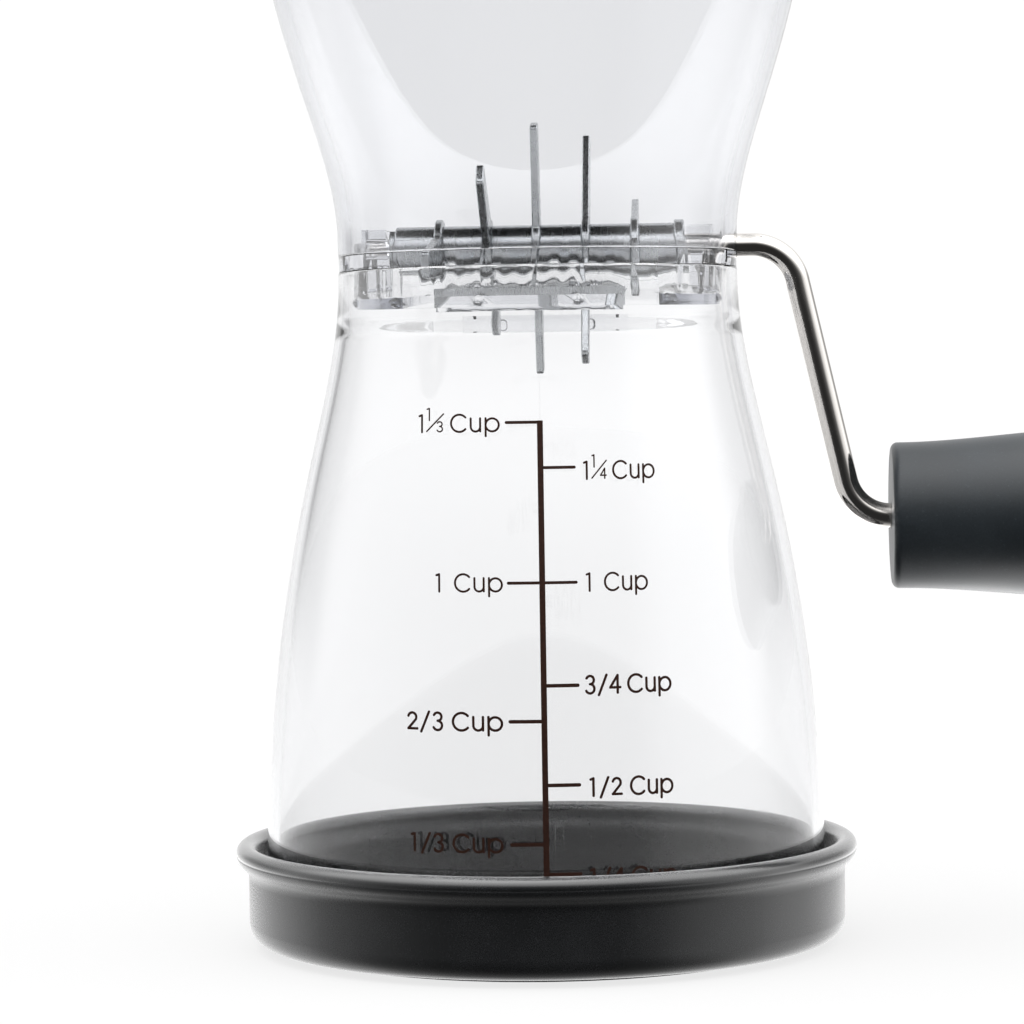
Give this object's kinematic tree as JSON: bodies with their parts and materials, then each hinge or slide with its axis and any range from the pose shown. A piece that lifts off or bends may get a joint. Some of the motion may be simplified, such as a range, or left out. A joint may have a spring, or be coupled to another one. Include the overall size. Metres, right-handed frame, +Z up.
{
  "type": "nut chopper",
  "caption": "Hand-crank nut chopper: clear waisted hopper over a clear measuring cup, with a steel tine rotor and combs in the waist, a bent rod crank with a grip, and a dark base and lid.",
  "frame": {"origin": "centre of the foot pad's underside, on the surface that the chopper stands on", "axes": "+Z up along the axis of the cup and hopper, +X along the rotor shaft towards the crank, -Y the front with the scale"},
  "size_m": [0.154, 0.092, 0.1784],
  "materials": {
    "clear_plastic": "clear moulded plastic",
    "charcoal_plastic": "satin moulded charcoal plastic",
    "slate_plastic": "satin moulded slate plastic",
    "polished_steel": "polished stainless rod",
    "steel": "stamped stainless steel",
    "rubber": "matte non-slip rubber"
  },
  "bodies": {
    "base": {"base_cap": "charcoal_plastic", "foot_pad": "rubber"},
    "cup": {"cup": "clear_plastic"},
    "head": {"carrier_ring": "clear_plastic", "coarse_comb": "steel", "fine_comb": "steel"},
    "hopper": {"hopper": "clear_plastic"},
    "lid": {"lid": "charcoal_plastic"},
    "rotor": {"crank_rod": "polished_steel", "tine_1": "steel", "tine_2": "steel", "tine_3": "steel", "tine_4": "steel", "tine_5": "steel", "spacer_1": "steel", "spacer_2": "steel", "spacer_3": "steel", "spacer_4": "steel", "spacer_5": "steel", "spacer_6": "steel", "shaft_clip": "steel", "shaft_collar": "steel", "grip_washer": "steel"},
    "grip": {"grip": "slate_plastic", "grip_end_cap": "slate_plastic"}
  },
  "joints": [
    {"name": "cup_lift", "type": "slide", "parent": "base", "child": "cup", "axis": [0, 0, 1], "range_m": [0, 0.02]},
    {"name": "head_lift", "type": "slide", "parent": "cup", "child": "head", "axis": [0, 0, 1], "range_m": [0, 0.025]},
    {"name": "hopper_lift", "type": "slide", "parent": "head", "child": "hopper", "axis": [0, 0, 1], "range_m": [0, 0.028]},
    {"name": "lid_lift", "type": "slide", "parent": "hopper", "child": "lid", "axis": [0, 0, 1], "range_m": [0, 0.02]},
    {"name": "crank_turn", "type": "hinge", "parent": "head", "child": "rotor", "pos_m": [0, 0, 0.1027], "axis": [1, 0, 0], "continuous": true},
    {"name": "grip_spin", "type": "hinge", "parent": "rotor", "child": "grip", "pos_m": [0.08, 0, 0.0626], "axis": [1, 0, 0], "continuous": true}
  ]
}
